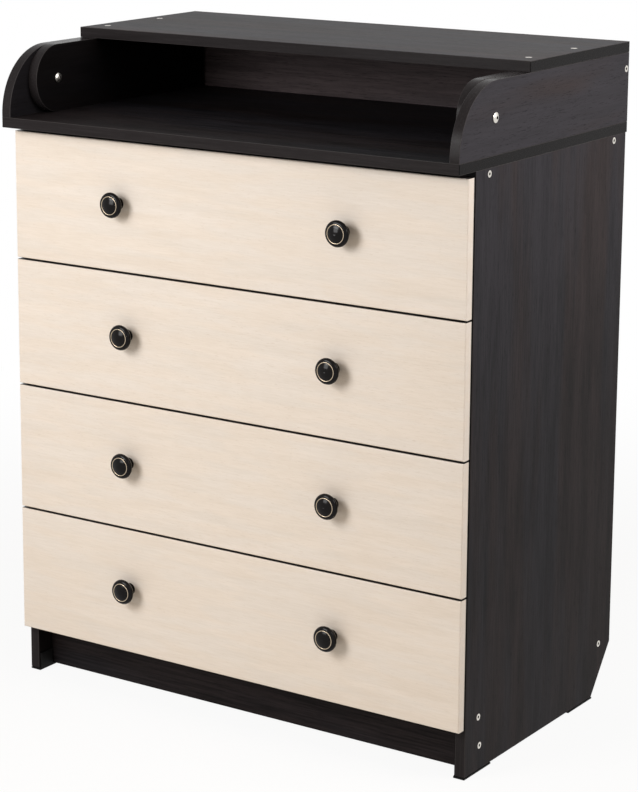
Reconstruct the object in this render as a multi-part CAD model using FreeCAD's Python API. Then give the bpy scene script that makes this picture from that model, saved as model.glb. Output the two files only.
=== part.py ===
import FreeCAD, Part
import os
from math import ceil, sqrt

# Changing dresser: a chest of four drawers under a tray whose lid folds forward.
# +X is the right side, the drawer fronts face -Y and +Z is up.
# The origin is on the floor, below the middle of the top slab. Sizes are in millimetres.

# ---- Boards -------------------------------------------------------------------------------
board = 16.0                  # laminated chipboard
back_board = 3.0              # hardboard back of the carcass
tray_board = 3.2              # hardboard bottom of a drawer
edge_round = 0.8              # softened edges of the laminated boards

# ---- Carcass ------------------------------------------------------------------------------
width = 800.0                 # over the side panels, the slab and the lid
slab_depth = 500.0
slab_overhang = 28.0          # front edge of the slab ahead of the drawer fronts
slab_rear_overhang = 1.0      # rear edge of the slab behind the back panel
plinth_height = 73.0
plinth_setback = 34.0         # plinth face behind the front edges of the side panels
rail_depth = 75.0
skirting_cut_depth = 58.0     # lower rear corner of the side panels
skirting_cut_height = 75.0
back_inset = 2.0              # edges of the back panel inside the outer faces

# ---- Foot pads ----------------------------------------------------------------------------
pad_thickness = 4.0
pad_length = 76.0
pad_neck = 1.0                # set-back neck between the sole and the panel
pad_neck_inset = 1.5
pad_round = 1.6               # lower edges of the sole
pad_flange_height = 24.0      # upright flange against the inner face of the side panel
pad_flange_thickness = 2.5
pad_flange_inset = 3.0        # ends of the flange from the pad's end and from the plinth
pad_rear_overrun = 2.0        # rear pads past the end of the panel's bottom edge

# ---- Drawers ------------------------------------------------------------------------------
drawer_count = 4
front_height = 197.0
front_gap = 3.0               # between neighbouring fronts
top_gap = 8.0                 # between the highest front and the slab
front_reveal = 1.0            # end of a front inside the carcass's outer face
front_standoff = 2.0          # back of a front ahead of the side panels
front_round = 2.2             # rounding round the face of a front
box_height = 140.0
box_rear_room = 32.0          # between a drawer box and the back panel
slide_room = 12.5             # between the box and the side panel, each side
runner_rise = 30.0            # underside of the slides above the lower edge of the front

# ---- Roller slides ------------------------------------------------------------------------
runner_sheet = 1.2
box_overrun = 20.0            # drawer box past the rear end of its slides
runner_web_height = 28.0
runner_setback = 2.0          # front end of the cabinet slides behind the side panel's edge
runner_flange = 10.8          # reach of the lower flange from the side panel
runner_top_flange = 9.0       # reach of the upper flange
runner_top_opening = 30.0     # upper flange starts this far behind the front roller's axle
roller_radius = 8.5
roller_width = 6.5
roller_bevel = 0.8
roller_gap = 0.3              # between a roller and its track
roller_end_gap = 0.4          # between a roller and the parts beside it
roller_inset = 12.0           # axle from the end of its slide
cabinet_roller_lift = 3.0     # cabinet axle above the drawer roller's axle
rivet_radius = 2.5
rivet_head_radius = 4.2
rivet_head = 0.8
running_gap = 0.05            # radial play of everything that turns on a pin
drawer_flange = 14.0          # slide flange under the box side

# ---- Knobs --------------------------------------------------------------------------------
top_knob_spacing = 400.0
knob_spacing = 370.0
knob_rise = 5.0               # knob axis above the middle of the front
knob_foot = (9.2, 0.0)        # outline from the front outwards: radius, height
knob_neck = (8.2, 4.4)
knob_waist = (9.6, 8.8)
knob_belly = (15.6, 12.8)
knob_rim = (19.4, 18.4)
knob_shoulder = (18.3, 21.9)
knob_lip = (14.2, 23.8)
knob_crown_rise = 2.9         # middle of the face above the lip
knob_ring_width = 1.2
knob_ring_depth = 1.2
knob_ring_proud = 0.35
knob_screw_radius = 2.0
knob_screw_reach = 12.0       # into the knob
knob_screw_head_radius = 4.2
knob_screw_head = 2.6

# ---- Fold-over top ------------------------------------------------------------------------
cheek_height = 104.0
cheek_land = 4.0              # upright stretch under the rounded nose of a cheek
pivot_setback = 96.0          # pivots behind the front edge of the slab
lid_rest_gap = 0.3            # under the closed lid
arm_slab_gap = 0.3            # under the arms, and under the lid's face when folded forward
arm_side_gap = 0.5            # between an arm and its cheek
lid_slab_gap = 1.0            # between the folded lid and the slab's front edge
arm_sweep_gap = 1.0           # between the turning arms and the rear board
sleeve_radius = 4.0
sleeve_bore_radius = 2.6
pivot_screw_radius = 2.5
pivot_head_radius = 7.5
pivot_head_height = 3.2
pivot_head_rim = 1.0          # upright edge of a domed pivot head
pivot_head_gap = 0.3          # between the inner head and the arm

# ---- Screws and cams ----------------------------------------------------------------------
screw_length = 50.0
screw_radius = 3.5
screw_head_radius = 5.0
screw_head = 3.5
socket_width = 4.0            # across the flats of the hex socket
socket_depth = 2.5
screw_play = 0.08             # round the screws, in their holes
rear_screw_drop = 24.0        # cheek screw below the top of the rear board
lid_screw_front = 39.0        # lid screws from the lid's front edge
lid_screw_rear = 131.0        # and from its rear edge
cheek_screw_front = 128.0     # screws up through the slab, from its front edge
cheek_screw_rear = 80.0       # and from its rear edge
board_screw_spacing = 400.0   # screws up through the slab into the rear board
slab_screw_length = 25.0
slab_screw_radius = 1.75
slab_screw_head_radius = 3.5
slab_screw_head = 2.2
slab_screw_spacing = 500.0
pan_screw_radius = 1.75       # screws of the slides
pan_head_radius = 3.5
pan_head_flat = 2.2           # radius of the flat middle of a pan head
pan_head = 1.4
recess_width = 0.9            # cross recess
recess_length = 3.8
recess_depth = 0.9
slide_screw_length = 12.0
slide_screw_rise = 11.0       # above the underside of the slides
flange_screw_length = 16.0
slide_screw_end = 35.0        # first and last screw from the ends of a slide, at least
slide_screw_pitch = 160.0
nail_radius = 0.8
nail_length = 20.0
nail_head_radius = 2.4
nail_head = 0.6
nail_pitch = 150.0            # between the nails of the back panel, at most
box_screw_low = 34.0          # box screws above the lower edge of the box side
box_screw_high = 112.0
cam_radius = 7.5
cam_depth = 12.5
cam_setback = 34.0            # cam axis behind the front
cam_bolt_radius = 3.5
cam_bolt_grip = 11.0          # thread in the front

# ---- Places that follow from the sizes ----------------------------------------------------
half_width = width / 2
inner_half = half_width - board
slab_front = -slab_depth / 2
slab_rear = slab_depth / 2
face_y = slab_front + slab_overhang
front_back_y = face_y + board
side_front = front_back_y + front_standoff
back_rear = slab_rear - slab_rear_overhang
side_rear = back_rear - back_board
plinth_face = side_front + plinth_setback

side_bottom = pad_thickness
shelf_bottom = side_bottom + plinth_height
shelf_top = shelf_bottom + board
front_pitch = front_height + front_gap
side_top = shelf_bottom + drawer_count * front_pitch - front_gap + top_gap
slab_top = side_top + board
cheek_top = slab_top + cheek_height
rail_bottom = side_top - board

lid_bottom = cheek_top + lid_rest_gap
lid_top = lid_bottom + board
arm_bottom = slab_top + arm_slab_gap
arm_half = (lid_bottom - arm_bottom) / 2
pivot_y = slab_front + pivot_setback
pivot_z = arm_bottom + arm_half
lid_front = pivot_y + pivot_setback + lid_slab_gap
rear_board_front = slab_rear - board
arm_outer = inner_half - arm_side_gap
arm_inner = arm_outer - board
arm_reach = sqrt((rear_board_front - arm_sweep_gap - pivot_y) ** 2 - arm_half ** 2)

box_half = inner_half - slide_room
box_inner = box_half - board
box_rear = side_rear - box_rear_room
drawer_slide_rear = box_rear - box_overrun
runner_length = drawer_slide_rear - front_back_y
cabinet_slide_front = side_front + runner_setback
cabinet_slide_rear = cabinet_slide_front + runner_length
cabinet_axle_y = cabinet_slide_front + roller_inset
drawer_axle_y = drawer_slide_rear - roller_inset
drawer_axle_rise = runner_sheet + roller_gap + roller_radius
cabinet_axle_rise = drawer_axle_rise + cabinet_roller_lift
top_flange_rise = drawer_axle_rise + roller_radius + roller_end_gap
run_flange_rise = cabinet_axle_rise + roller_radius + roller_gap

VECTOR = FreeCAD.Vector
RIGHT = VECTOR(1, 0, 0)
FORWARD = VECTOR(0, -1, 0)
BACKWARD = VECTOR(0, 1, 0)
UP = VECTOR(0, 0, 1)
DOWN = VECTOR(0, 0, -1)
SIDES = {"left": -1, "right": 1}
DRAWERS = range(1, drawer_count + 1)
HEX_SIDES = 6


# ---- Small helpers ------------------------------------------------------------------------
def drawer_bottom_z(number):
    """Lower edge of a drawer front; drawer 1 is the highest."""
    return shelf_bottom + (drawer_count - number) * front_pitch


def slide_base(number):
    """Underside of the slides of a drawer."""
    return drawer_bottom_z(number) + runner_rise


def block(x, y, z):
    """A box between the two values given for each axis, in either order."""
    low = VECTOR(min(x), min(y), min(z))
    size = VECTOR(max(x), max(y), max(z)) - low
    return Part.makeBox(size.x, size.y, size.z, low)


def soft_block(x, y, z, radius=edge_round):
    """A board with all its edges softened."""
    shape = block(x, y, z)
    return shape.makeFillet(radius, shape.Edges)


def placed(shape, base, direction):
    """A shape built along +Z from the origin, moved to base and turned to direction."""
    shape.Placement = FreeCAD.Placement(base, FreeCAD.Rotation(UP, direction))
    return shape


def turned(edges, base, direction):
    """A closed outline of edges in the XZ plane, turned into a solid about its Z axis."""
    face = Part.Face(Part.Wire(edges))
    return placed(face.revolve(VECTOR(0, 0, 0), UP, 360), base, direction)


def outline(points):
    """Straight edges between (radius, height) points, closed."""
    corners = [VECTOR(radius, 0, height) for radius, height in points]
    return Part.makePolygon(corners + corners[:1]).Edges


def arc(start, middle, end):
    """An arc through three (radius, height) points."""
    points = [VECTOR(radius, 0, height) for radius, height in (start, middle, end)]
    return Part.Arc(*points).toShape()


def cap_arc(rim, crown):
    """Half the arc of a spherical cap, from its rim to its crown on the axis."""
    rise = crown[1] - rim[1]
    radius = (rim[0] ** 2 + rise ** 2) / (2 * rise)
    middle_radius = rim[0] / 2
    middle = (middle_radius, crown[1] - radius + sqrt(radius ** 2 - middle_radius ** 2))
    return arc(rim, middle, crown)


def line(start, end):
    """A straight edge between two (radius, height) points."""
    return Part.LineSegment(VECTOR(start[0], 0, start[1]), VECTOR(end[0], 0, end[1])).toShape()


def joined(shapes):
    """Several shapes fused into one solid."""
    return shapes[0].fuse(shapes[1:]).removeSplitter()


def drilled(shape, holes):
    """A shape with all the holes taken out of it."""
    return shape.cut(holes)


def hex_socket(width_across, depth):
    """A hexagonal recess that opens at the origin and runs along +Z."""
    start = VECTOR(width_across / sqrt(3), 0, 0)
    turn = 360 / HEX_SIDES
    corners = [FreeCAD.Rotation(UP, turn * step).multVec(start) for step in range(HEX_SIDES + 1)]
    return Part.Face(Part.makePolygon(corners)).extrude(UP * depth)


# ---- Fasteners ----------------------------------------------------------------------------
def connector_outline(play):
    """Outline of a connector screw from the face of its head along +Z."""
    head = screw_head_radius + play
    shank = screw_radius + play
    tip = screw_length + play
    return outline([(0, 0), (head, 0), (head, screw_head / 2), (shank, screw_head),
                    (shank, tip - shank), (0, tip)])


def connector_screw(base, direction):
    """A one-piece connector screw with a flush head and a hex socket."""
    screw = turned(connector_outline(0), VECTOR(0, 0, 0), UP)
    return placed(screw.cut(hex_socket(socket_width, socket_depth)), base, direction)


def connector_hole(base, direction):
    """The stepped hole for a connector screw."""
    return turned(connector_outline(screw_play), base, direction)


def pin(radius, length, base, direction):
    """A round pin or hole of the given radius."""
    return Part.makeCylinder(radius, length, base, direction)


def mirrored_places(side_x, places, inward):
    """(point, direction) pairs at both sides for each (y, z), pointing inward or outward."""
    pairs = []
    for sign in SIDES.values():
        direction = RIGHT * (-sign if inward else sign)
        pairs += [(VECTOR(sign * side_x, y, z), direction) for y, z in places]
    return pairs


def rail_centres():
    """Middle lines of the front and rear rails."""
    return (side_front + rail_depth / 2, side_rear - rail_depth / 2)


def side_screw_places():
    """Screws through the side panels: shelf, rails and plinth."""
    shelf_z = shelf_bottom + board / 2
    rail_z = rail_bottom + board / 2
    front_y, rear_y = rail_centres()
    plinth_centre = (plinth_face + board / 2, side_bottom + plinth_height / 2)
    return [(front_y, shelf_z), (rear_y, shelf_z), (front_y, rail_z), (rear_y, rail_z),
            plinth_centre]


def cheek_side_screw_places():
    """Screws through the cheeks into the ends of the rear board."""
    return [(slab_rear - board / 2, cheek_top - rear_screw_drop)]


def slab_upward_places():
    """Screws up through the slab into the cheeks and the rear board."""
    cheek_x = inner_half + board / 2
    cheek_ys = (slab_front + cheek_screw_front, slab_rear - cheek_screw_rear)
    points = [(sign * cheek_x, y) for sign in SIDES.values() for y in cheek_ys]
    points += [(sign * board_screw_spacing / 2, slab_rear - board / 2) for sign in SIDES.values()]
    return [(VECTOR(x, y, side_top), UP) for x, y in points]


def carcass_screw_places():
    """Every connector screw of the carcass and the tray."""
    through_sides = mirrored_places(half_width, side_screw_places(), True)
    through_cheeks = mirrored_places(half_width, cheek_side_screw_places(), True)
    return through_sides + through_cheeks + slab_upward_places()


def lid_screw_places():
    """Screws down through the lid into the arms."""
    arm_x = (arm_outer + arm_inner) / 2
    rows = (lid_front + lid_screw_front, slab_rear - lid_screw_rear)
    return [(VECTOR(sign * arm_x, y, lid_top), DOWN) for sign in SIDES.values() for y in rows]


def slab_screw_places():
    """Short screws up through the rails into the slab."""
    return [VECTOR(sign * slab_screw_spacing / 2, y, rail_bottom)
            for sign in SIDES.values() for y in rail_centres()]


def slab_screw_outline(play):
    """Outline of a short countersunk screw."""
    head = slab_screw_head_radius + play
    shank = slab_screw_radius + play
    return outline([(0, 0), (head, 0), (shank, slab_screw_head),
                    (shank, slab_screw_length - shank), (0, slab_screw_length + play)])


def pan_screw(base, direction, length):
    """A pan-head screw whose head sits at base and whose shank runs along direction."""
    screw = turned(outline([(0, -pan_head), (pan_head_flat, -pan_head), (pan_head_radius, 0),
                            (pan_screw_radius, 0), (pan_screw_radius, length - pan_screw_radius),
                            (0, length)]), VECTOR(0, 0, 0), UP)
    across = (-recess_width / 2, recess_width / 2)
    along = (-recess_length / 2, recess_length / 2)
    deep = (-pan_head, recess_depth - pan_head)
    return placed(screw.cut([block(across, along, deep), block(along, across, deep)]),
                  base, direction)


def pan_screw_hole(base, direction, length):
    """The hole for a pan-head screw."""
    return pin(pan_screw_radius + screw_play, length + screw_play, base, direction)


def slide_screw_rows(front):
    """Y values of the screws of a slide that starts at front."""
    count = int((runner_length - 2 * slide_screw_end) / slide_screw_pitch) + 1
    return [front + slide_screw_end + step * slide_screw_pitch for step in range(count)]


def cabinet_slide_screw_places(sign):
    """Screws through the webs of the cabinet slides of one side, with their length."""
    x = sign * (inner_half - runner_sheet)
    return [(VECTOR(x, y, slide_base(number) + slide_screw_rise), RIGHT * sign, slide_screw_length)
            for number in DRAWERS for y in slide_screw_rows(cabinet_slide_front)]


def flange_screw_places(number, sign):
    """Screws up through the flange of a drawer slide, with their length."""
    x = sign * (box_half - board / 2)
    z = slide_base(number) + roller_gap
    return [(VECTOR(x, y, z), UP, flange_screw_length) for y in slide_screw_rows(front_back_y)]


def evenly(low, high, pitch):
    """Values from low to high, at most pitch apart."""
    steps = ceil((high - low) / pitch)
    return [low + (high - low) * step / steps for step in range(steps + 1)]


def nail(base):
    """A flat-headed nail, driven forward from the outer face of the back panel."""
    head = pin(nail_head_radius, nail_head, base, BACKWARD)
    return joined([pin(nail_radius, nail_length, base, FORWARD), head])


def nail_places():
    """Nails of the back panel, into the side panels, the shelf and the rear rail."""
    x_edge = inner_half + board / 2
    low = shelf_bottom + board / 2
    high = side_top - board / 2
    places = [(sign * x_edge, z) for sign in SIDES.values() for z in evenly(low, high, nail_pitch)]
    places += [(x, z) for z in (low, high) for x in evenly(-x_edge, x_edge, nail_pitch)[1:-1]]
    return [VECTOR(x, back_rear, z) for x, z in places]


def nail_hole(base):
    """The hole of a nail."""
    return pin(nail_radius + running_gap, nail_length + running_gap, base, FORWARD)


# ---- Carcass ------------------------------------------------------------------------------
def side_panel(sign):
    """A side panel with its lower rear corner cut off."""
    corners = [(side_front, side_bottom), (side_rear - skirting_cut_depth, side_bottom),
               (side_rear, side_bottom + skirting_cut_height), (side_rear, side_top),
               (side_front, side_top)]
    points = [VECTOR(sign * half_width, y, z) for y, z in corners]
    face = Part.Face(Part.makePolygon(points + points[:1]))
    panel = face.extrude(RIGHT * (-sign * board))
    panel = panel.makeFillet(edge_round, panel.Edges)
    slide_holes = [pan_screw_hole(*place) for place in cabinet_slide_screw_places(sign)]
    return drilled(panel, carcass_holes + slide_holes + nail_holes)


def shelf():
    """The bottom shelf."""
    shape = block((-inner_half, inner_half), (side_front, side_rear), (shelf_bottom, shelf_top))
    return drilled(shape, carcass_holes + nail_holes)


def plinth():
    """The recessed board under the bottom shelf."""
    depth = (plinth_face, plinth_face + board)
    shape = block((-inner_half, inner_half), depth, (side_bottom, shelf_bottom))
    return drilled(shape, carcass_holes)


def top_rails():
    """The two flat rails that tie the side panels under the slab."""
    shapes = []
    for centre in rail_centres():
        depth = (centre - rail_depth / 2, centre + rail_depth / 2)
        rail = block((-inner_half, inner_half), depth, (rail_bottom, side_top))
        shapes.append(drilled(rail, carcass_holes + slab_screw_holes + nail_holes))
    return Part.makeCompound(shapes)


def back_panel():
    """The hardboard back, from the bottom shelf to the slab."""
    edge = half_width - back_inset
    shape = block((-edge, edge), (side_rear, back_rear), (shelf_bottom, side_top))
    return drilled(shape, nail_holes)


def top_slab():
    """The slab that carries the tray."""
    shape = soft_block((-half_width, half_width), (slab_front, slab_rear), (side_top, slab_top))
    return drilled(shape, carcass_holes + slab_screw_holes)


def foot_pads():
    """Plastic pads under the front and rear ends of the side panels."""
    panel_end = side_rear - skirting_cut_depth
    flange_length = plinth_setback - 2 * pad_flange_inset
    sole_top = pad_thickness - pad_neck
    starts = (side_front, panel_end + pad_rear_overrun - pad_length)
    shapes = []
    for sign in SIDES.values():
        inner = sign * (inner_half - pad_flange_thickness)
        for start in starts:
            sole = block((sign * half_width, inner), (start, start + pad_length), (0, sole_top))
            low_edges = [edge for edge in sole.Edges if edge.BoundBox.ZMax < sole_top / 2]
            sole = sole.makeFillet(pad_round, low_edges)
            neck = block((sign * (half_width - pad_neck_inset), inner),
                         (start + pad_neck_inset, start + pad_length - pad_neck_inset),
                         (sole_top, pad_thickness))
            flange_start = start + pad_flange_inset
            flange = block((sign * inner_half, inner), (flange_start, flange_start + flange_length),
                           (sole_top, pad_thickness + pad_flange_height))
            shapes.append(joined([sole, neck, flange]))
    return Part.makeCompound(shapes)


# ---- Tray and lid -------------------------------------------------------------------------
def cheek(sign):
    """An outer cheek: a board on edge with a quarter-round nose."""
    radius = cheek_height - cheek_land
    x = sign * half_width
    centre = VECTOR(x, slab_front + radius, cheek_top - radius)
    nose_low = VECTOR(x, slab_front, slab_top + cheek_land)
    nose_high = VECTOR(x, slab_front + radius, cheek_top)
    nose_middle = centre + VECTOR(0, -radius, radius) / sqrt(2)
    rear_high = VECTOR(x, slab_rear, cheek_top)
    rear_low = VECTOR(x, slab_rear, slab_top)
    front_low = VECTOR(x, slab_front, slab_top)
    edges = [Part.Arc(nose_low, nose_middle, nose_high).toShape()]
    corners = [nose_high, rear_high, rear_low, front_low, nose_low]
    edges += [Part.LineSegment(start, end).toShape() for start, end in zip(corners, corners[1:])]
    panel = Part.Face(Part.Wire(edges)).extrude(RIGHT * (-sign * board))
    long_edges = [edge for edge in panel.Edges if abs(edge.BoundBox.XLength) < board / 2]
    panel = panel.makeFillet(edge_round, long_edges)
    bore = pin(sleeve_radius + running_gap, board, VECTOR(x, pivot_y, pivot_z), RIGHT * -sign)
    return drilled(panel, carcass_holes + [bore])


def rear_board():
    """The rear wall of the tray."""
    depth = (rear_board_front, slab_rear)
    shape = block((-inner_half, inner_half), depth, (slab_top, cheek_top))
    return drilled(shape, carcass_holes)


def lid_panel():
    """The lid, whose underside becomes the front half of the changing surface."""
    depth = (lid_front, slab_rear)
    shape = soft_block((-half_width, half_width), depth, (lid_bottom, lid_top))
    return drilled(shape, lid_holes)


def lid_arm(sign):
    """A lid arm: a board on edge whose front end is round about the pivot."""
    x = sign * arm_inner
    arm_top = pivot_z + arm_half
    rear = pivot_y + arm_reach
    nose_low = VECTOR(x, pivot_y, arm_bottom)
    nose_middle = VECTOR(x, pivot_y - arm_half, pivot_z)
    nose_high = VECTOR(x, pivot_y, arm_top)
    corners = [nose_high, VECTOR(x, rear, arm_top), VECTOR(x, rear, arm_bottom), nose_low]
    edges = [Part.Arc(nose_low, nose_middle, nose_high).toShape()]
    edges += [Part.LineSegment(start, end).toShape() for start, end in zip(corners, corners[1:])]
    panel = Part.Face(Part.Wire(edges)).extrude(RIGHT * (sign * board))
    long_edges = [edge for edge in panel.Edges if abs(edge.BoundBox.XLength) < board / 2]
    panel = panel.makeFillet(edge_round, long_edges)
    bore = pin(sleeve_radius + running_gap, board, VECTOR(x, pivot_y, pivot_z), RIGHT * sign)
    return drilled(panel, lid_holes + [bore])


def domed_head(base, direction, extra):
    """A domed pivot head on its seat, fused with the parts in extra, which start there."""
    low = (pivot_head_radius, 0)
    edge = (pivot_head_radius, pivot_head_rim)
    top = (0, pivot_head_height)
    edges = [line((0, 0), low), line(low, edge), cap_arc(edge, top), line(top, (0, 0))]
    return joined([turned(edges, base, direction)] + extra)


def pivot_sleeve(sign):
    """The inner half of a pivot: a domed nut whose sleeve passes the arm and the cheek."""
    seat = VECTOR(sign * (arm_inner - pivot_head_gap), pivot_y, pivot_z)
    length = half_width - arm_inner + pivot_head_gap
    sleeve = pin(sleeve_radius, length, seat, RIGHT * sign)
    nut = domed_head(seat, RIGHT * -sign, [sleeve])
    return nut.cut(pin(sleeve_bore_radius, length, seat, RIGHT * sign))


def pivot_screw(sign):
    """The outer half of a pivot: a domed screw that reaches through the sleeve."""
    seat = VECTOR(sign * half_width, pivot_y, pivot_z)
    length = half_width - arm_inner
    shank = pin(pivot_screw_radius, length, seat, RIGHT * -sign)
    screw = domed_head(seat, RIGHT * sign, [shank])
    socket = placed(hex_socket(socket_width, socket_depth),
                    seat + RIGHT * (sign * pivot_head_height), RIGHT * -sign)
    return screw.cut(socket)


# ---- Roller slides ------------------------------------------------------------------------
def roller(inner_x, outer_x, y, z):
    """A bevelled plastic roller between two X values."""
    width_x = abs(outer_x - inner_x)
    wheel = pin(roller_radius, width_x, VECTOR(0, 0, 0), UP)
    wheel = wheel.makeChamfer(roller_bevel, [edge for edge in wheel.Edges if edge.Closed])
    wheel = wheel.cut(pin(rivet_radius + running_gap, width_x, VECTOR(0, 0, 0), UP))
    return placed(wheel, VECTOR(min(inner_x, outer_x), y, z), RIGHT)


def rivet(base, direction, length):
    """An axle rivet with a flat head at its free end."""
    shank = pin(rivet_radius, length, base, direction)
    head = pin(rivet_head_radius, rivet_head, base + direction * length, direction)
    return joined([shank, head])


def cabinet_roller_span(sign):
    """X values of a cabinet roller's two faces, the one at its profile first."""
    near = inner_half - runner_sheet - roller_end_gap
    return sign * near, sign * (near - roller_width)


def drawer_roller_span(sign):
    """X values of a drawer roller's two faces, the one at its profile first."""
    near = box_half + runner_sheet + roller_end_gap
    return sign * near, sign * (near + roller_width)


def cabinet_slide(sign, base):
    """A cabinet profile, not yet drilled, and the rivet of its roller, at height base."""
    side = sign * inner_half
    web_x = sign * (inner_half - runner_sheet)
    length = (cabinet_slide_front, cabinet_slide_rear)
    upper_length = (cabinet_axle_y + runner_top_opening, cabinet_slide_rear)
    upper = base + top_flange_rise
    profile = joined([
        block((side, web_x), length, (base, base + runner_web_height)),
        block((side, sign * (inner_half - runner_flange)), length, (base, base + runner_sheet)),
        block((side, sign * (inner_half - runner_top_flange)), upper_length,
              (upper, upper + runner_sheet))])
    axle = VECTOR(web_x, cabinet_axle_y, base + cabinet_axle_rise)
    return [profile, rivet(axle, RIGHT * -sign, roller_width + 2 * roller_end_gap)]


def drawer_slide(sign, base):
    """A drawer profile, not yet drilled, and the rivet of its roller, at height base."""
    side = sign * box_half
    web_x = sign * (box_half + runner_sheet)
    length = (front_back_y, drawer_slide_rear)
    low = base + roller_gap
    high = base + run_flange_rise + runner_sheet
    reach = sign * (inner_half - runner_sheet - roller_end_gap)
    profile = joined([
        block((side, web_x), length, (low, high)),
        block((side, reach), length, (high - runner_sheet, high)),
        block((web_x, side - sign * drawer_flange), length, (low, low + runner_sheet))])
    axle = VECTOR(web_x, drawer_axle_y, base + drawer_axle_rise)
    return [profile, rivet(axle, RIGHT * sign, roller_width + 2 * roller_end_gap)]


# ---- Drawers ------------------------------------------------------------------------------
def knob_points(number):
    """Where the two knobs of a drawer stand on its front."""
    spacing = top_knob_spacing if number == 1 else knob_spacing
    z = drawer_bottom_z(number) + front_height / 2 + knob_rise
    return [VECTOR(sign * spacing / 2, face_y, z) for sign in SIDES.values()]


def knob(point):
    """A mushroom knob with a domed middle and a groove for its ring."""
    outer, face_height = knob_lip
    inner = outer - knob_ring_width
    floor = face_height - knob_ring_depth
    middle_rim = (inner, face_height)
    crown = (0, face_height + knob_crown_rise)
    edges = [line((0, 0), knob_foot), arc(knob_foot, knob_neck, knob_waist),
             arc(knob_waist, knob_belly, knob_rim), arc(knob_rim, knob_shoulder, knob_lip),
             line(knob_lip, (outer, floor)), line((outer, floor), (inner, floor)),
             line((inner, floor), middle_rim), cap_arc(middle_rim, crown), line(crown, (0, 0))]
    body = turned(edges, point, FORWARD)
    return body.cut(pin(knob_screw_radius + screw_play, knob_screw_reach, point, FORWARD))


def knob_ring(point):
    """The thin metal ring let into the face of a knob."""
    outer, face_height = knob_lip[0] - screw_play, knob_lip[1]
    inner = knob_lip[0] - knob_ring_width + screw_play
    floor = face_height - knob_ring_depth
    crest = ((inner + outer) / 2, face_height + knob_ring_proud)
    edges = [line((inner, floor), (outer, floor)), line((outer, floor), (outer, face_height)),
             arc((outer, face_height), crest, (inner, face_height)),
             line((inner, face_height), (inner, floor))]
    return turned(edges, point, FORWARD)


def knob_screw(point):
    """The machine screw that holds a knob, from inside the drawer."""
    seat = VECTOR(point.x, front_back_y, point.z)
    shank = pin(knob_screw_radius, board + knob_screw_reach - screw_play, seat, FORWARD)
    head = pin(knob_screw_head_radius, knob_screw_head, seat, BACKWARD)
    return joined([shank, head])


def box_screw_places(box_bottom):
    """Connector screws through the box sides into the box back."""
    rows = (box_bottom + box_screw_low, box_bottom + box_screw_high)
    return mirrored_places(box_half, [(box_rear - board / 2, z) for z in rows], True)


def cam_places(box_bottom):
    """Cams in the inner faces of the box sides."""
    rows = (box_bottom + box_screw_low, box_bottom + box_screw_high)
    return mirrored_places(box_inner, [(front_back_y + cam_setback, z) for z in rows], False)


def cam_bolt(cam_point, direction):
    """A bolt from the front to the rim of a cam."""
    start = cam_point + direction * (cam_depth / 2) + FORWARD * (cam_setback + cam_bolt_grip)
    length = cam_bolt_grip + cam_setback - cam_radius - screw_play
    return pin(cam_bolt_radius, length, start, BACKWARD)


def cam_bolt_hole(cam_point, direction):
    """The hole for a cam bolt, which runs on into the cam's pocket."""
    grip = cam_setback + cam_bolt_grip + screw_play
    start = cam_point + direction * (cam_depth / 2) + FORWARD * grip
    return pin(cam_bolt_radius + screw_play, grip, start, BACKWARD)


def drawer_parts(number):
    """The nodes of one drawer, by name."""
    low = drawer_bottom_z(number)
    base = slide_base(number)
    tray_bottom = base + roller_gap + runner_sheet
    box_bottom = tray_bottom + tray_board
    box_z = (box_bottom, box_bottom + box_height)
    points = knob_points(number)
    box_screws = box_screw_places(box_bottom)
    cams = cam_places(box_bottom)
    box_holes = [connector_hole(*place) for place in box_screws]
    cam_holes = [pin(cam_radius + screw_play, cam_depth, *place) for place in cams]
    bolt_holes = [cam_bolt_hole(*place) for place in cams]
    flange_screws = [place for sign in SIDES.values() for place in flange_screw_places(number, sign)]
    flange_holes = [pan_screw_hole(*place) for place in flange_screws]
    knob_holes = [pin(knob_screw_radius + screw_play, board, point, BACKWARD) for point in points]

    front_half = half_width - front_reveal
    front = block((-front_half, front_half), (face_y, front_back_y), (low, low + front_height))
    face_edges = [edge for edge in front.Edges if edge.BoundBox.YMax < face_y + board / 2]
    front = front.makeFillet(front_round, face_edges)
    parts = {"front": drilled(front, knob_holes + bolt_holes)}
    for name, sign in SIDES.items():
        side = block((sign * box_half, sign * box_inner), (front_back_y, box_rear), box_z)
        parts["side_" + name] = drilled(side, box_holes + cam_holes + bolt_holes + flange_holes)
    back = block((-box_inner, box_inner), (box_rear - board, box_rear), box_z)
    parts["back"] = drilled(back, box_holes)
    bottom = block((-box_half, box_half), (front_back_y, box_rear), (tray_bottom, box_bottom))
    parts["bottom"] = drilled(bottom, flange_holes)
    parts["knobs"] = Part.makeCompound([knob(point) for point in points])
    fittings = [knob_ring(point) for point in points] + [knob_screw(point) for point in points]
    fittings += [connector_screw(*place) for place in box_screws]
    fittings += [pin(cam_radius, cam_depth, *place) for place in cams]
    fittings += [cam_bolt(*place) for place in cams]
    fittings += [pan_screw(*place) for place in flange_screws]
    parts["fittings"] = Part.makeCompound(fittings)
    slides = []
    for sign in SIDES.values():
        profile, axle = drawer_slide(sign, base)
        slides += [drilled(profile, flange_holes), axle]
    parts["runners"] = Part.makeCompound(slides)
    axle_z = base + drawer_axle_rise
    wheels = [roller(*drawer_roller_span(sign), drawer_axle_y, axle_z) for sign in SIDES.values()]
    parts["rollers"] = Part.makeCompound(wheels)
    return {"drawer_%d_%s" % (number, name): shape for name, shape in parts.items()}


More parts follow.
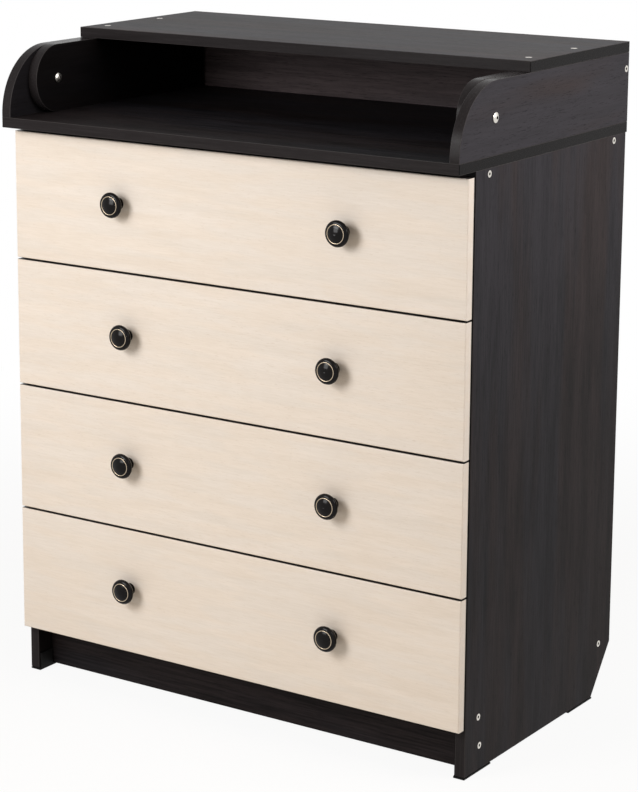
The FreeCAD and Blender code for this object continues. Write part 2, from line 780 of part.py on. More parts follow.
def cabinet_slide_parts():
    """The cabinet profiles in one node, and the pair of rollers of each drawer in its own."""
    slides = []
    parts = {}
    for number in DRAWERS:
        base = slide_base(number)
        axle_z = base + cabinet_axle_rise
        wheels = [roller(*cabinet_roller_span(sign), cabinet_axle_y, axle_z)
                  for sign in SIDES.values()]
        parts["cabinet_rollers_%d" % number] = Part.makeCompound(wheels)
        for sign in SIDES.values():
            profile, axle = cabinet_slide(sign, base)
            holes = [pan_screw_hole(*place) for place in cabinet_slide_screw_places(sign)]
            slides += [drilled(profile, holes), axle]
    parts["cabinet_runners"] = Part.makeCompound(slides)
    return parts


# ---- The whole dresser --------------------------------------------------------------------
carcass_holes = [connector_hole(*place) for place in carcass_screw_places()]
lid_holes = [connector_hole(*place) for place in lid_screw_places()]
slab_screw_holes = [turned(slab_screw_outline(screw_play), point, UP)
                    for point in slab_screw_places()]
nail_holes = [nail_hole(point) for point in nail_places()]

small_fixings = [turned(slab_screw_outline(0), point, UP) for point in slab_screw_places()]
small_fixings += [pan_screw(*place) for sign in SIDES.values()
                  for place in cabinet_slide_screw_places(sign)]
small_fixings += [nail(point) for point in nail_places()]

nodes = {
    "bottom_shelf": shelf(),
    "plinth": plinth(),
    "top_rails": top_rails(),
    "back_panel": back_panel(),
    "top_slab": top_slab(),
    "rear_board": rear_board(),
    "foot_pads": foot_pads(),
    "lid_panel": lid_panel(),
    "carcass_screws": Part.makeCompound([connector_screw(*p) for p in carcass_screw_places()]),
    "lid_screws": Part.makeCompound([connector_screw(*p) for p in lid_screw_places()]),
    "small_fixings": Part.makeCompound(small_fixings),
    "pivot_sleeves": Part.makeCompound([pivot_sleeve(sign) for sign in SIDES.values()]),
    "pivot_screws": Part.makeCompound([pivot_screw(sign) for sign in SIDES.values()]),
}
for name, sign in SIDES.items():
    nodes["side_panel_" + name] = side_panel(sign)
    nodes["cheek_" + name] = cheek(sign)
    nodes["lid_arm_" + name] = lid_arm(sign)
nodes.update(cabinet_slide_parts())
for number in DRAWERS:
    nodes.update(drawer_parts(number))

os.makedirs("parts", exist_ok=True)
for name, shape in nodes.items():
    shape.exportStep("parts/%s.step" % name)
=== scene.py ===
import math
from collections import namedtuple

import bpy
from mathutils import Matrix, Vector


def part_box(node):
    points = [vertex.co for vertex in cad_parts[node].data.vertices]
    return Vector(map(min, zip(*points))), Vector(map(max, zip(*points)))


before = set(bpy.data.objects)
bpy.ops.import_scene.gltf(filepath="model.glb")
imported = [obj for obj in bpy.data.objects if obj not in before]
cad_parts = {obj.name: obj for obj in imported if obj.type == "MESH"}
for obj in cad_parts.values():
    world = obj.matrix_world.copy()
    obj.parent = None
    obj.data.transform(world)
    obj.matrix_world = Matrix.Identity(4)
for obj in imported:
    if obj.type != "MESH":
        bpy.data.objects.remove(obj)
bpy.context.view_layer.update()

X, Y, Z = range(3)
MILLIMETRE = 0.001                         # in metres, the frame's unit
DRAWERS = (1, 2, 3, 4)                     # from the top down

# ---- Camera: the photograph's view --------------------------------------------------------
PHOTO_LONG_SIDE = 792                      # pixels
SENSOR = 36.0                              # millimetres, along the long side
FOCAL_PIXELS = 2526.7
CAMERA_PLACE = Vector((2.07833, -3.16567, 1.4328))
CAMERA_AZIMUTH = math.radians(34.946)
CAMERA_ELEVATION = math.radians(12.137)
CAMERA_SHIFT = (0.09975, -0.12121)         # in long sides of the picture
CAMERA_REACH = 100.0                       # metres, past the floor's far edge

# ---- Light and stage ----------------------------------------------------------------------
LAMP_AIM = Vector((0.0, 0.0, 0.5))         # middle of the dresser
LAMPS = {                                  # place, width and height, watts, colour
    "key": ((-0.70, -2.20, 1.25), (0.90, 0.95), 21.1, (1.0, 1.0, 1.0)),
    "soft": ((-0.70, -1.91, 1.70), (1.10, 0.50), 15.2, (1.0, 1.0, 1.0)),
    "side": ((1.41, 0.0, 1.50), (0.80, 0.80), 15.6, (1.0, 0.99, 0.99)),
}
AMBIENT = 0.25                             # strength of the world's own light
AMBIENT_COLOUR = (1.11, 0.98, 0.85)
WHITE = (1.0, 1.0, 1.0, 1.0)
FLOOR_HALF = 14.0                          # metres, from the origin to an edge
FLOOR_TONE = (0.84, 0.805, 0.74)
FLOOR_SPECKLE = 0.01                       # how much lighter its palest specks are
FLOOR_SPECKS = 40.0                        # a metre
FLOOR_ROUGHNESS = 0.9
FLOOR_GLOW = 0.92                          # share of plain white in what the camera sees
FLOOR_FADE = (0.8, 2.2)                    # metres from the origin, over which it turns all white

# ---- Ranges that stretch a noise, which seldom leaves 0.2 to 0.8 --------------------------
FULL = (0.2, 0.8)
WIDE = (0.25, 0.75)
MIDDLE = (0.3, 0.7)
NARROW = (0.35, 0.65)
THIN = (0.38, 0.62)
MIDDLE_TONE = 0.5

# ---- Ranges of how far a surface faces along an axis, where 1 is straight along it --------
TOWARDS = (0.4, 0.6)
AWAY = (-0.4, -0.6)
SIDEWAYS = (0.6, 0.8)
OFF_FACE = (0.25, 0.12)                    # from a board's wide face to its edge band
ROUNDED = ((0.97, 0.85), (0.10, 0.30))     # off the wide face, and not yet on the edge band
CORNERED = (0.08, 0.2)                     # along X times along Y, on an upright corner
LEVEL = (0.92, 0.99)

# ---- Dark laminate ------------------------------------------------------------------------
# Here and below, colours are linear, and a pair of them is the darkest and the palest tone.
WENGE_NOISES = (                           # blobs a metre across and along the grain, detail
    (36.0, 4.5, 3.0),                      # broad streaks
    (360.0, 14.0, 2.0),                    # fibre
    (1300.0, 60.0, 1.0),                   # pores
    (17.0, 1.6, 2.0),                      # brown and slate casts
)
WENGE_SEED_STEP = (1.7, 2.3, 3.1)          # a board's noises start this far from the last one's
WENGE_STREAK_SHARE = 0.36
WENGE_FIBRE_SHARE = 0.64
WENGE_BROWN = ((0.0034, 0.0027, 0.0027), (0.0296, 0.0228, 0.0233))
WENGE_SLATE = ((0.0032, 0.0030, 0.0034), (0.0268, 0.0247, 0.0289))
WENGE_CAST_RISE = 0.22                     # how far a cast's noise rises from brown to slate
WENGE_PAINTED_LIGHT_HEIGHTS = (0.42, 0.90)               # painted light: metres over which upright boards grow lighter towards the top
WENGE_PAINTED_LIGHT_TONES = (-0.08, 0.34)         # added to the tone there
WENGE_PORES = (0.62, 0.70)
WENGE_PORE = (0.003, 0.0025, 0.0025)
WENGE_PORE_SHARE = 0.55
WENGE_INNER_SHADE = (0.0035, 0.0029, 0.0030)     # painted shade on the faces of upright boards towards the middle
WENGE_INNER_SHADE_SHARE = 0.7
WENGE_BAND = ((0.0140, 0.0120, 0.0123), (0.0255, 0.0220, 0.0229))
WENGE_BAND_END = (0.0054, 0.0045, 0.0045)  # left and right ends of flat boards
WENGE_BAND_SHADE = (0.0020, 0.0016, 0.0015) # painted shade on the side panels' edge bands above the plinth, behind the fronts
WENGE_PLINTH_TOP = (0.070, 0.078)          # metres, where that begins
WENGE_ARRIS_HIGHLIGHT = (0.071, 0.065, 0.064)        # painted highlight along the rounded edges, partly edge wear
WENGE_ARRIS_HIGHLIGHT_SHARE = 0.6
WENGE_SEAM = (0.0015, 0.0012, 0.0012)      # upright corners, where two edge bands meet
WENGE_ROUGHNESS = (0.42, 0.52)
WENGE_PORE_ROUGHER = 0.12
WENGE_BAND_SMOOTHER = 0.22
WENGE_SPECULAR = 0.05                      # low, or the white backdrop veils the dark boards
WENGE_FIBRE_RELIEF = 0.25                  # height of the fibre over the depth of the pores
WENGE_RELIEF = (0.04, 0.6)                 # depth in millimetres, strength

# A board's third field scales its laminate colours, painted light and shade: lighter copies for
# the lit rear board, cheeks and lid, a darker one for the shaded top slab.
Board = namedtuple("Board", "grain thickness lift contrast cold_from seams")
BOARDS = {                                 # cold_from is where the slate cast begins in its noise
    "side_panel_left": Board(Z, X, 1.15, 0.8, 0.42, False),
    "side_panel_right": Board(Z, X, 1.15, 0.8, 0.42, False),
    "top_slab": Board(X, Z, 0.60, 1.0, 0.40, True),
    "lid_panel": Board(X, Z, 1.5, 1.0, 0.42, True),
    "cheek_left": Board(Y, X, 2.2, 0.28, 0.24, False),
    "cheek_right": Board(Y, X, 2.2, 0.28, 0.24, False),
    "lid_arm_left": Board(Y, X, 0.5, 0.7, 0.40, False),
    "lid_arm_right": Board(Y, X, 0.5, 0.7, 0.40, False),
    "rear_board": Board(X, Y, 4.2, 0.40, 0.46, False),
    "plinth": Board(X, Y, 0.9, 0.8, 0.48, False),
    "bottom_shelf": Board(X, Z, 0.9, 1.0, 0.40, False),
    "top_rails": Board(X, Z, 0.9, 1.0, 0.40, False),
}

# ---- Cream laminate -----------------------------------------------------------------------
OAK_SEED_STEP = (2.9, 1.3, 2.1)
OAK_WARP = ((2.0, 4.0, 9.0), 1.0)          # blobs a metre along each axis and detail, as below
OAK_PATCHES = ((5.0, 16.0, 16.0), 1.0)
OAK_FIBRES = ((34.0, 430.0, 430.0), 3.0)
OAK_PORES = ((100.0, 1100.0, 1100.0), 1.0)
OAK_HUES = ((8.0, 52.0, 52.0), 2.0)
OAK_STREAKS = (5.5, 58.0, 58.0)            # blobs a metre, bent by the warp
OAK_STREAK_NOISE = (2.0, 0.55)             # detail, roughness
OAK_STREAK_SHARE = 0.48
OAK_FIBRE_SHARE = 0.42
OAK_BASE_TONE = 0.29
OAK_CALM = 0.25                            # strength of the streaks where a patch is calm
OAK_TAN = ((0.708, 0.617, 0.525), (0.799, 0.712, 0.629))
OAK_GREY = ((0.701, 0.624, 0.545), (0.792, 0.719, 0.650))
OAK_PORE_RANGE = (0.64, 0.72)
OAK_PORE = (0.59, 0.49, 0.39)
OAK_PORE_SHARE = 0.35
OAK_GAP_SHADE = (0.012, 0.009, 0.008)           # painted shade: upper and lower edges, dark for the gaps between the fronts
OAK_REAR_SHADE = (0.020, 0.015, 0.012)          # painted shade on the rearmost strip of the left and right edges, for the gap beside the carcass
OAK_REAR_SHADE_DEPTHS = (1.8, 1.3)              # millimetres ahead of the back, where it begins
OAK_ROUGHNESS = (0.42, 0.50)
OAK_FIBRE_RELIEF = 0.3
OAK_RELIEF = (0.03, 0.5)                   # depth in millimetres, strength, as below

# ---- Drawer boxes and back ----------------------------------------------------------------
MELAMINE = ((0.82, 0.82, 0.80), (0.87, 0.87, 0.855))
MELAMINE_PEEL = 450.0                      # blobs a metre, as below
MELAMINE_RELIEF = (0.03, 0.5)
CHIPBOARD = ((0.30, 0.19, 0.10), (0.62, 0.46, 0.29))
CHIPBOARD_FLAKES = (260.0, 3.0, 0.7)       # blobs a metre, detail and roughness, as below
MELAMINE_ROUGHNESS = (0.42, 0.85)          # laminate, bare chipboard
HARDBOARD = ((0.135, 0.070, 0.034), (0.30, 0.175, 0.095))
HARDBOARD_FIBRES = (900.0, 4.0, 0.7)
HARDBOARD_CLOUDS = (14.0, 3.0)
HARDBOARD_CLOUD = (0.19, 0.10, 0.05)
HARDBOARD_CLOUD_SHARE = 0.35
HARDBOARD_FLECKS = (330.0, 1.0)
HARDBOARD_FLECK_RANGE = (0.66, 0.74)
HARDBOARD_FLECK = (0.40, 0.27, 0.16)
HARDBOARD_FLECK_SHARE = 0.5
HARDBOARD_WHITE = (0.83, 0.83, 0.81)
HARDBOARD_ROUGHNESS = (0.72, 0.38)        # raw, white face
HARDBOARD_SMOOTH_RELIEF = 0.1             # on the white face, over the raw one's
HARDBOARD_RELIEF = (0.12, 0.6)

# ---- Metal --------------------------------------------------------------------------------
ZINC = ((0.50, 0.50, 0.51), (0.66, 0.66, 0.66))
GOLD = ((0.52, 0.41, 0.29), (0.64, 0.53, 0.40))
DRAWER_METAL_GRIT = 1500.0
DRAWER_METAL_ROUGHNESS = (0.24, 0.36)
DRAWER_METAL_RELIEF = (0.01, 0.4)
RING_STEPS = (1.0, 2.0)                    # millimetres ahead of a front: zinc, then gold
NICKEL = ((0.62, 0.585, 0.53), (0.76, 0.725, 0.67))
NICKEL_GRIT = (1300.0, 3.0)
NICKEL_STAINS = 180.0
NICKEL_ROUGHNESS = (0.22, 0.36)
NICKEL_RELIEF = (0.012, 0.5)
SOCKET_STEPS = (0.2, 0.6)                  # millimetres below the face: unshaded, then full painted shade
PIVOT_SOCKET_RADII = (2.6, 2.2)            # millimetres from the pivots' axis: unshaded, then full painted shade
# Painted shade inside the screws' sockets
SOCKET_SHADE = (0.035, 0.032, 0.030)
SOCKET_ROUGHER = 0.4

# ---- Plain surfaces: knobs, slide profiles, rollers, foot pads ----------------------------
# One noise each, of so many blobs a metre and a detail, and the range that stretches it.
Plain = namedtuple("Plain", "noise stretch tones roughness relief specular")
PLAIN = {
    "black_gloss": Plain((160.0, 3.0), MIDDLE,
                         ((0.0016, 0.0008, 0.0006), (0.0026, 0.0015, 0.0013)),
                         (0.12, 0.17), (0.01, 0.3), 0.15),
    "powder_coat": Plain((650.0, 2.0), FULL, ((0.80, 0.80, 0.775), (0.86, 0.86, 0.84)),
                         (0.32, 0.44), (0.05, 0.6), 0.5),
    "nylon": Plain((300.0, 2.0), FULL, ((0.74, 0.74, 0.69), (0.82, 0.82, 0.78)),
                   (0.38, 0.50), (0.03, 0.4), 0.5),
    "pad_plastic": Plain((1100.0, 2.0), FULL, ((0.004, 0.004, 0.004), (0.009, 0.0085, 0.0085)),
                         (0.50, 0.65), (0.05, 0.6), 0.1),
}

# ---- Sockets of the mix node, for colours -------------------------------------------------
MIX_FIRST, MIX_SECOND, MIX_RESULT = 6, 7, 2


def direction(azimuth, elevation):
    """The unit vector from the object towards an observer there."""
    return Vector((math.sin(azimuth) * math.cos(elevation),
                   -math.cos(azimuth) * math.cos(elevation), math.sin(elevation)))


def make_camera():
    """The camera at the photograph's place, with the small shift that its framing needs."""
    camera = bpy.data.objects.new("camera", bpy.data.cameras.new("camera"))
    bpy.context.scene.collection.objects.link(camera)
    bpy.context.scene.camera = camera
    back = direction(CAMERA_AZIMUTH, CAMERA_ELEVATION)
    camera.location = CAMERA_PLACE
    camera.rotation_euler = (-back).to_track_quat("-Z", "Y").to_euler()
    camera.data.sensor_fit = "AUTO"
    camera.data.sensor_width = SENSOR
    camera.data.lens = FOCAL_PIXELS * SENSOR / PHOTO_LONG_SIDE
    camera.data.shift_x, camera.data.shift_y = CAMERA_SHIFT
    camera.data.clip_end = CAMERA_REACH


def opaque(colour):
    """A colour constant with its alpha, or an output as it is."""
    return colour if isinstance(colour, bpy.types.NodeSocket) else (*colour, 1.0)


def scaled(numbers, factor):
    """Each number times the factor, as for a lighter or darker colour."""
    return tuple(number * factor for number in numbers)


class Surface:
    """A material under construction, with short calls that add nodes and link them."""

    def __init__(self, name):
        self.material = bpy.data.materials.new(name)
        self.material.use_nodes = True
        self.tree = self.material.node_tree
        self.shader = self.tree.nodes["Principled BSDF"]
        self.coordinates = self.node("ShaderNodeTexCoord").outputs

    def feed(self, socket, value):
        """Links an output to a socket, or sets the socket to a constant."""
        if isinstance(value, bpy.types.NodeSocket):
            self.tree.links.new(value, socket)
        else:
            socket.default_value = value

    def node(self, kind, inputs=None, **settings):
        """A new node with its settings, and its inputs fed by name or number."""
        made = self.tree.nodes.new(kind)
        for key, value in settings.items():
            setattr(made, key, value)
        for key, value in (inputs or {}).items():
            self.feed(made.inputs[key], value)
        return made

    def place(self, axis):
        """The object's own coordinate along an axis, in metres."""
        return self.node("ShaderNodeSeparateXYZ", {0: self.coordinates["Object"]}).outputs[axis]

    def facing(self, axis):
        """How far the surface faces along an axis, from -1 to 1."""
        return self.node("ShaderNodeSeparateXYZ", {0: self.coordinates["Normal"]}).outputs[axis]

    def math(self, operation, first, second=0.0):
        """One math node's result."""
        return self.node("ShaderNodeMath", {0: first, 1: second}, operation=operation).outputs[0]

    def vector_math(self, operation, inputs):
        """One vector math node's outputs."""
        return self.node("ShaderNodeVectorMath", inputs, operation=operation).outputs

    def weighted(self, first, first_share, second, second_share):
        """The sum of two outputs, each times its share."""
        return self.math("ADD", self.math("MULTIPLY", first, first_share),
                         self.math("MULTIPLY", second, second_share))

    def stretched(self, scales, offset=(0.0, 0.0, 0.0)):
        """The object's own coordinates, multiplied by a factor along each axis."""
        return self.node("ShaderNodeMapping", {"Vector": self.coordinates["Object"],
                                               "Scale": scales, "Location": offset}).outputs[0]

    def noise(self, vector, detail=2.0, roughness=0.5):
        """Noise from 0 to 1, with about one blob per unit of the vector."""
        return self.node("ShaderNodeTexNoise", {"Vector": vector, "Scale": 1.0, "Detail": detail,
                                                "Roughness": roughness}).outputs[0]

    def even_noise(self, blobs, detail=2.0, roughness=0.5):
        """Noise without a grain, with this many blobs a metre."""
        return self.noise(self.stretched((blobs, blobs, blobs)), detail, roughness)

    def between(self, value, low, high, bottom=0.0, top=1.0):
        """A smooth change from bottom to top as value goes from low to high."""
        return self.node("ShaderNodeMapRange",
                         {"Value": value, "From Min": low, "From Max": high, "To Min": bottom,
                          "To Max": top}, interpolation_type="SMOOTHSTEP").outputs[0]

    def mix(self, share, first, second):
        """A colour between two colours."""
        made = self.node("ShaderNodeMix", {"Factor": share}, data_type="RGBA")
        self.feed(made.inputs[MIX_FIRST], opaque(first))
        self.feed(made.inputs[MIX_SECOND], opaque(second))
        return made.outputs[MIX_RESULT]

    def bump(self, height, depth, strength):
        """A normal from a height map whose full range is depth, in millimetres."""
        return self.node("ShaderNodeBump", {"Height": height, "Distance": depth * MILLIMETRE,
                                            "Strength": strength}).outputs[0]

    def finish(self, colour, roughness, normal=None, metallic=0.0, specular=0.5):
        """Feeds the shader and returns the material."""
        sockets = self.shader.inputs
        self.feed(sockets["Base Color"], opaque(colour))
        self.feed(sockets["Roughness"], roughness)
        sockets["Metallic"].default_value = metallic
        sockets["Specular IOR Level"].default_value = specular
        if normal is not None:
            self.feed(sockets["Normal"], normal)
        return self.material


# ---- Materials ----------------------------------------------------------------------------
def wenge_face(surface, board, fibre, pores, broad, cast):
    """The colour of a dark board's wide faces, with painted light and shade: each board's colours
    scaled lighter or darker, upright boards lighter towards the top, inner faces darker.
    """
    tone = surface.weighted(surface.between(broad, *MIDDLE), WENGE_STREAK_SHARE,
                            surface.between(fibre, *WIDE), WENGE_FIBRE_SHARE)
    tone = surface.math("ADD", surface.math("MULTIPLY", tone, board.contrast),
                        MIDDLE_TONE - MIDDLE_TONE * board.contrast)
    if board.grain == Z:
        # painted light: upright boards lighter towards the top
        painted_top_light = surface.between(surface.place(Z), *WENGE_PAINTED_LIGHT_HEIGHTS, *WENGE_PAINTED_LIGHT_TONES)
        tone = surface.math("ADD", tone, painted_top_light)
    # painted light and shade: the board's colours scaled by how it is lit
    brown, slate = (surface.mix(tone, *(scaled(colour, board.lift) for colour in pair))
                    for pair in (WENGE_BROWN, WENGE_SLATE))
    cold = surface.between(cast, board.cold_from, board.cold_from + WENGE_CAST_RISE)
    wood = surface.mix(cold, brown, slate)
    wood = surface.mix(surface.math("MULTIPLY", pores, WENGE_PORE_SHARE), wood, WENGE_PORE)
    if board.thickness == X:
        side = surface.math("SIGN", surface.place(X))
        outward = surface.math("MULTIPLY", surface.facing(X), side)
        # painted shade: inner faces of upright boards darker
        inner_shade = surface.math("MULTIPLY", surface.between(outward, *AWAY), WENGE_INNER_SHADE_SHARE)
        wood = surface.mix(inner_shade, wood, WENGE_INNER_SHADE)
    return wood


def wenge_band(surface, board, fibre, sideways):
    """The colour of a dark board's edge bands, with painted shade on the side panels' bands above
    the plinth.
    """
    band = surface.mix(fibre, *WENGE_BAND)
    if board.thickness == Z:
        band = surface.mix(surface.between(sideways, *SIDEWAYS), band, WENGE_BAND_END)
    # painted shade: side panels' edge bands near-black above the plinth, behind the fronts
    if board.grain == Z:
        band = surface.mix(surface.between(surface.place(Z), *WENGE_PLINTH_TOP), band,
                           WENGE_BAND_SHADE)
    return band


def dark_laminate(name, board, seed):
    """Wenge laminate: broad streaks, fibre and pores along the grain, edge bands, and a painted
    highlight on the rounded edges.
    """
    surface = Surface(name)
    offset = scaled(WENGE_SEED_STEP, seed)
    noises = []
    for across, along, detail in WENGE_NOISES:
        scales = tuple(along if axis == board.grain else across for axis in (X, Y, Z))
        noises.append(surface.noise(surface.stretched(scales, offset), detail))
    broad, fibre, pore, cast = noises
    pores = surface.between(pore, *WENGE_PORES)
    face = wenge_face(surface, board, fibre, pores, broad, cast)
    sideways = surface.math("ABSOLUTE", surface.facing(X))
    band = wenge_band(surface, board, fibre, sideways)
    flat = surface.math("ABSOLUTE", surface.facing(board.thickness))
    on_edge = surface.between(flat, *OFF_FACE)
    # painted highlight along the rounded edges, partly edge wear
    arris_highlight = surface.math("MULTIPLY", *(surface.between(flat, *part) for part in ROUNDED))
    colour = surface.mix(on_edge, face, band)
    colour = surface.mix(surface.math("MULTIPLY", arris_highlight, WENGE_ARRIS_HIGHLIGHT_SHARE), colour, WENGE_ARRIS_HIGHLIGHT)
    if board.seams:
        ends = surface.math("MULTIPLY", sideways, surface.facing(Y))
        corner = surface.between(surface.math("ABSOLUTE", ends), *CORNERED)
        colour = surface.mix(surface.math("MULTIPLY", corner, on_edge), colour, WENGE_SEAM)
    rough = surface.between(fibre, *FULL, *WENGE_ROUGHNESS)
    rough = surface.math("ADD", rough, surface.math("MULTIPLY", pores, WENGE_PORE_ROUGHER))
    rough = surface.math("SUBTRACT", rough,
                         surface.math("MULTIPLY", on_edge, WENGE_BAND_SMOOTHER))
    relief = surface.math("SUBTRACT", surface.math("MULTIPLY", fibre, WENGE_FIBRE_RELIEF), pores)
    return surface.finish(colour, rough, surface.bump(relief, *WENGE_RELIEF),
                          specular=WENGE_SPECULAR)


def cream_laminate(name, seed):
    """Milk-oak laminate: patchy streaks, fibre and pores along X, with painted shade on the upper
    and lower edges and the rearmost strip.
    """
    surface = Surface(name)
    offset = scaled(OAK_SEED_STEP, seed)
    warp, patch, fibre, pore, hue = (
        surface.noise(surface.stretched(scales, offset), detail)
        for scales, detail in (OAK_WARP, OAK_PATCHES, OAK_FIBRES, OAK_PORES, OAK_HUES))
    rise = surface.node("ShaderNodeCombineXYZ", {"Z": warp}).outputs[0]
    bent = surface.vector_math("ADD", {0: surface.stretched(OAK_STREAKS, offset), 1: rise})[0]
    broad = surface.noise(bent, *OAK_STREAK_NOISE)
    streak = surface.math("SUBTRACT", surface.between(broad, *MIDDLE), MIDDLE_TONE)
    streak = surface.math("MULTIPLY", streak, surface.between(patch, *NARROW, OAK_CALM, 1.0))
    tone = surface.weighted(streak, OAK_STREAK_SHARE,
                            surface.between(fibre, *WIDE), OAK_FIBRE_SHARE)
    tone = surface.math("ADD", tone, OAK_BASE_TONE)
    wood = surface.mix(surface.between(hue, *THIN), surface.mix(tone, *OAK_TAN),
                       surface.mix(tone, *OAK_GREY))
    pores = surface.between(pore, *OAK_PORE_RANGE)
    wood = surface.mix(surface.math("MULTIPLY", pores, OAK_PORE_SHARE), wood, OAK_PORE)
    # painted shade: upper and lower edges dark, for the gaps between the fronts
    upright = surface.math("ABSOLUTE", surface.facing(Z))
    wood = surface.mix(surface.between(upright, *LEVEL), wood, OAK_GAP_SHADE)
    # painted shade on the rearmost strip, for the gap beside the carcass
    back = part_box("drawer_1_front")[1].y
    rear_shade = surface.between(surface.place(Y),
                            *(back - depth * MILLIMETRE for depth in OAK_REAR_SHADE_DEPTHS))
    wood = surface.mix(rear_shade, wood, OAK_REAR_SHADE)
    rough = surface.between(fibre, *FULL, *OAK_ROUGHNESS)
    relief = surface.math("SUBTRACT", surface.math("MULTIPLY", fibre, OAK_FIBRE_RELIEF), pores)
    return surface.finish(wood, rough, surface.bump(relief, *OAK_RELIEF))


def white_melamine():
    """White box boards with a faint orange peel, and bare chipboard on their lower edges."""
    surface = Surface("white_melamine")
    peel = surface.even_noise(MELAMINE_PEEL)
    flake = surface.even_noise(*CHIPBOARD_FLAKES)
    chips = surface.mix(surface.between(flake, *NARROW), *CHIPBOARD)
    under = surface.between(surface.facing(Z), *AWAY)
    return surface.finish(surface.mix(under, surface.mix(peel, *MELAMINE), chips),
                          surface.between(under, 0.0, 1.0, *MELAMINE_ROUGHNESS),
                          surface.bump(peel, *MELAMINE_RELIEF))


def hardboard(name, smooth_axis, smooth_sign):
    """Hardboard: white on its smooth face, raw brown fibre elsewhere."""
    surface = Surface(name)
    fibre = surface.even_noise(*HARDBOARD_FIBRES)
    cloud = surface.between(surface.even_noise(*HARDBOARD_CLOUDS), *MIDDLE,
                            0.0, HARDBOARD_CLOUD_SHARE)
    fleck = surface.between(surface.even_noise(*HARDBOARD_FLECKS), *HARDBOARD_FLECK_RANGE)
    raw = surface.mix(cloud, surface.mix(fibre, *HARDBOARD), HARDBOARD_CLOUD)
    raw = surface.mix(surface.math("MULTIPLY", fleck, HARDBOARD_FLECK_SHARE), raw,
                      HARDBOARD_FLECK)
    across = surface.math("MULTIPLY", surface.facing(smooth_axis), smooth_sign)
    smooth = surface.between(across, *TOWARDS)
    calm = surface.between(smooth, 0.0, 1.0, 1.0, HARDBOARD_SMOOTH_RELIEF)
    relief = surface.math("MULTIPLY", fibre, calm)
    return surface.finish(surface.mix(smooth, raw, HARDBOARD_WHITE),
                          surface.between(smooth, 0.0, 1.0, *HARDBOARD_ROUGHNESS),
                          surface.bump(relief, *HARDBOARD_RELIEF))


def plain_surface(name):
    """A surface whose colour, roughness and relief follow one noise."""
    surface = Surface(name)
    look = PLAIN[name]
    noise = surface.even_noise(*look.noise)
    return surface.finish(surface.mix(noise, *look.tones),
                          surface.between(noise, *look.stretch, *look.roughness),
                          surface.bump(noise, *look.relief), specular=look.specular)


def drawer_metal():
    """Pale gold rings ahead of the drawer's face, zinc-plated screws and cams behind it."""
    surface = Surface("drawer_metal")
    grit = surface.even_noise(DRAWER_METAL_GRIT)
    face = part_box("drawer_1_front")[0].y
    ahead = surface.between(surface.place(Y), *(face - step * MILLIMETRE for step in RING_STEPS))
    return surface.finish(surface.mix(ahead, surface.mix(grit, *ZINC), surface.mix(grit, *GOLD)),
                          surface.between(grit, *FULL, *DRAWER_METAL_ROUGHNESS),
                          surface.bump(grit, *DRAWER_METAL_RELIEF), metallic=1.0)


def nickel(name, socket=None):
    """Nickel-plated screws, faintly scratched, with painted shade in the recess that socket
    marks.
    """
    surface = Surface(name)
    grit = surface.even_noise(*NICKEL_GRIT)
    colour = surface.mix(surface.even_noise(NICKEL_STAINS), *NICKEL)
    rough = surface.between(grit, *FULL, *NICKEL_ROUGHNESS)
    if socket:
        recess = socket(surface)
        # painted shade inside the socket
        colour = surface.mix(recess, colour, SOCKET_SHADE)
        rough = surface.math("ADD", rough, surface.math("MULTIPLY", recess, SOCKET_ROUGHER))
    return surface.finish(colour, rough, surface.bump(grit, *NICKEL_RELIEF), metallic=1.0)


def side_socket(surface):
    """1 inside the sockets of the screws in the carcass's outer faces."""
    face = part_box("side_panel_right")[1].x
    return surface.between(surface.math("ABSOLUTE", surface.place(X)),
                           *(face - step * MILLIMETRE for step in SOCKET_STEPS))


def lid_socket(surface):
    """1 inside the sockets of the screws in the lid's top."""
    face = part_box("lid_panel")[1].z
    return surface.between(surface.place(Z),
                           *(face - step * MILLIMETRE for step in SOCKET_STEPS))


def pivot_socket(surface):
    """1 inside the sockets in the domes of the pivot screws."""
    low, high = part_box("pivot_screws")
    middle = (low + high) / 2
    from_axis = surface.vector_math("ADD", {0: surface.coordinates["Object"],
                                            1: (0.0, -middle.y, -middle.z)})[0]
    flat = surface.vector_math("MULTIPLY", {0: from_axis, 1: (0.0, 1.0, 1.0)})[0]
    radius = surface.vector_math("LENGTH", {0: flat})["Value"]
    return surface.between(radius, *(edge * MILLIMETRE for edge in PIVOT_SOCKET_RADII))


def dress(node, material):
    """Gives a CAD node one material."""
    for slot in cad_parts[node].material_slots:
        slot.material = material


def dress_drawers():
    """The materials of the four drawers and of the rollers that carry them."""
    melamine = white_melamine()
    shared = {"side_left": melamine, "side_right": melamine, "back": melamine,
              "bottom": hardboard("tray_hardboard", Z, 1.0), "fittings": drawer_metal(),
              "knobs": plain_surface("black_gloss"), "runners": plain_surface("powder_coat"),
              "rollers": plain_surface("nylon")}
    for number in DRAWERS:
        drawer = "drawer_%d_" % number
        dress(drawer + "front", cream_laminate(drawer + "oak", number))
        for part, material in shared.items():
            dress(drawer + part, material)
        dress("cabinet_rollers_%d" % number, shared["rollers"])
    dress("cabinet_runners", shared["runners"])


def dress_all():
    """A material for every CAD node."""
    for seed, (node, board) in enumerate(BOARDS.items()):
        dress(node, dark_laminate("wenge_" + node, board, seed))
    dress_drawers()
    dress("back_panel", hardboard("back_hardboard", Y, -1.0))
    dress("foot_pads", plain_surface("pad_plastic"))
    dress("carcass_screws", nickel("nickel_connectors", side_socket))
    dress("lid_screws", nickel("nickel_lid_screws", lid_socket))
    dress("pivot_screws", nickel("nickel_pivots", pivot_socket))
    plain = nickel("nickel")
    dress("small_fixings", plain)
    dress("pivot_sleeves", plain)


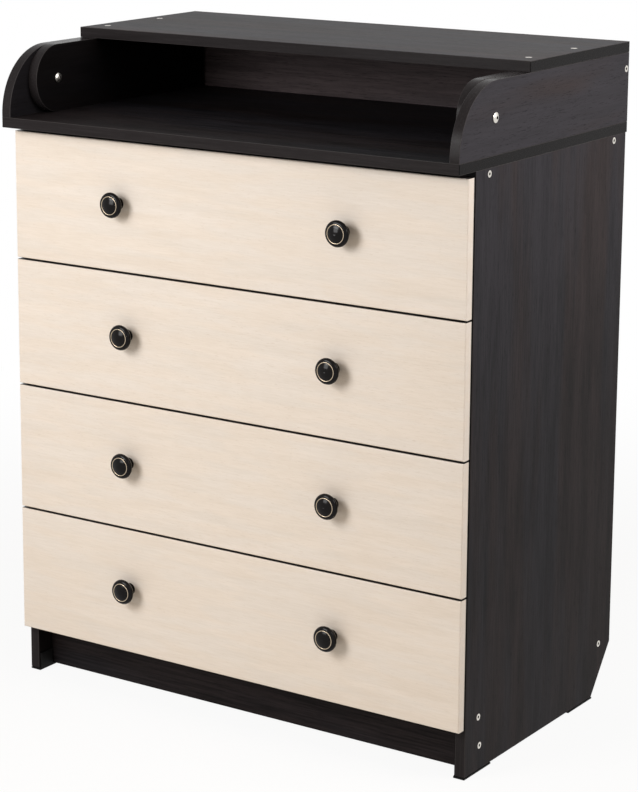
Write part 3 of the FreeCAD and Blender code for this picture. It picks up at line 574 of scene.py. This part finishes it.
# ---- Stage --------------------------------------------------------------------------------
def seen_directly(tree):
    """1 for what the camera, a reflection or a clear material shows, 0 for the light itself."""
    path = tree.nodes.new("ShaderNodeLightPath").outputs
    total = path["Is Camera Ray"]
    for name in ("Is Glossy Ray", "Is Transmission Ray"):
        add = tree.nodes.new("ShaderNodeMath")
        add.operation = "MAXIMUM"
        tree.links.new(total, add.inputs[0])
        tree.links.new(path[name], add.inputs[1])
        total = add.outputs[0]
    return total


def make_floor():
    """A plain pale floor that keeps the dresser's shadow and fades into the white backdrop."""
    mesh = bpy.data.meshes.new("floor")
    corners = [(x * FLOOR_HALF, y * FLOOR_HALF, 0.0)
               for x, y in ((-1, -1), (1, -1), (1, 1), (-1, 1))]
    mesh.from_pydata(corners, [], [(0, 1, 2, 3)])
    floor = bpy.data.objects.new("floor", mesh)
    bpy.context.scene.collection.objects.link(floor)
    surface = Surface("floor")
    tree = surface.tree
    palest = [tone + FLOOR_SPECKLE for tone in FLOOR_TONE]
    surface.finish(surface.mix(surface.even_noise(FLOOR_SPECKS), FLOOR_TONE, palest),
                   FLOOR_ROUGHNESS, specular=0.0)
    distance = surface.vector_math("LENGTH", {0: surface.coordinates["Object"]})["Value"]
    far = surface.between(distance, *FLOOR_FADE, FLOOR_GLOW, 1.0)
    share = surface.math("MULTIPLY", far, seen_directly(tree))
    white = surface.node("ShaderNodeEmission", {"Color": WHITE, "Strength": 1.0})
    blend = surface.node("ShaderNodeMixShader", {0: share, 1: surface.shader.outputs[0],
                                                 2: white.outputs[0]})
    tree.links.new(blend.outputs[0], tree.nodes["Material Output"].inputs["Surface"])
    mesh.materials.append(surface.material)


def make_world():
    """Soft ambient light, and a white backdrop where it is seen or mirrored."""
    world = bpy.data.worlds.new("studio")
    bpy.context.scene.world = world
    world.use_nodes = True
    tree = world.node_tree
    ambient = tree.nodes["Background"]
    ambient.inputs["Color"].default_value = opaque(AMBIENT_COLOUR)
    ambient.inputs["Strength"].default_value = AMBIENT
    white = tree.nodes.new("ShaderNodeBackground")
    white.inputs["Color"].default_value = WHITE
    white.inputs["Strength"].default_value = 1.0
    blend = tree.nodes.new("ShaderNodeMixShader")
    tree.links.new(seen_directly(tree), blend.inputs[0])
    tree.links.new(ambient.outputs[0], blend.inputs[1])
    tree.links.new(white.outputs[0], blend.inputs[2])
    tree.links.new(blend.outputs[0], tree.nodes["World Output"].inputs["Surface"])


def make_lamp(name, place, extent, watts, colour):
    """A soft light that looks at the middle of the dresser."""
    data = bpy.data.lights.new(name, "AREA")
    data.shape = "RECTANGLE"
    data.size, data.size_y = extent
    data.energy = watts
    data.color = colour
    lamp = bpy.data.objects.new(name, data)
    bpy.context.scene.collection.objects.link(lamp)
    lamp.visible_camera = False
    lamp.location = place
    lamp.rotation_euler = (LAMP_AIM - Vector(place)).to_track_quat("-Z", "Y").to_euler()


bpy.context.scene.view_settings.view_transform = "Standard"
make_camera()
dress_all()
make_floor()
make_world()
for lamp_name, lamp_values in LAMPS.items():
    make_lamp(lamp_name, *lamp_values)

bpy.context.view_layer.update()
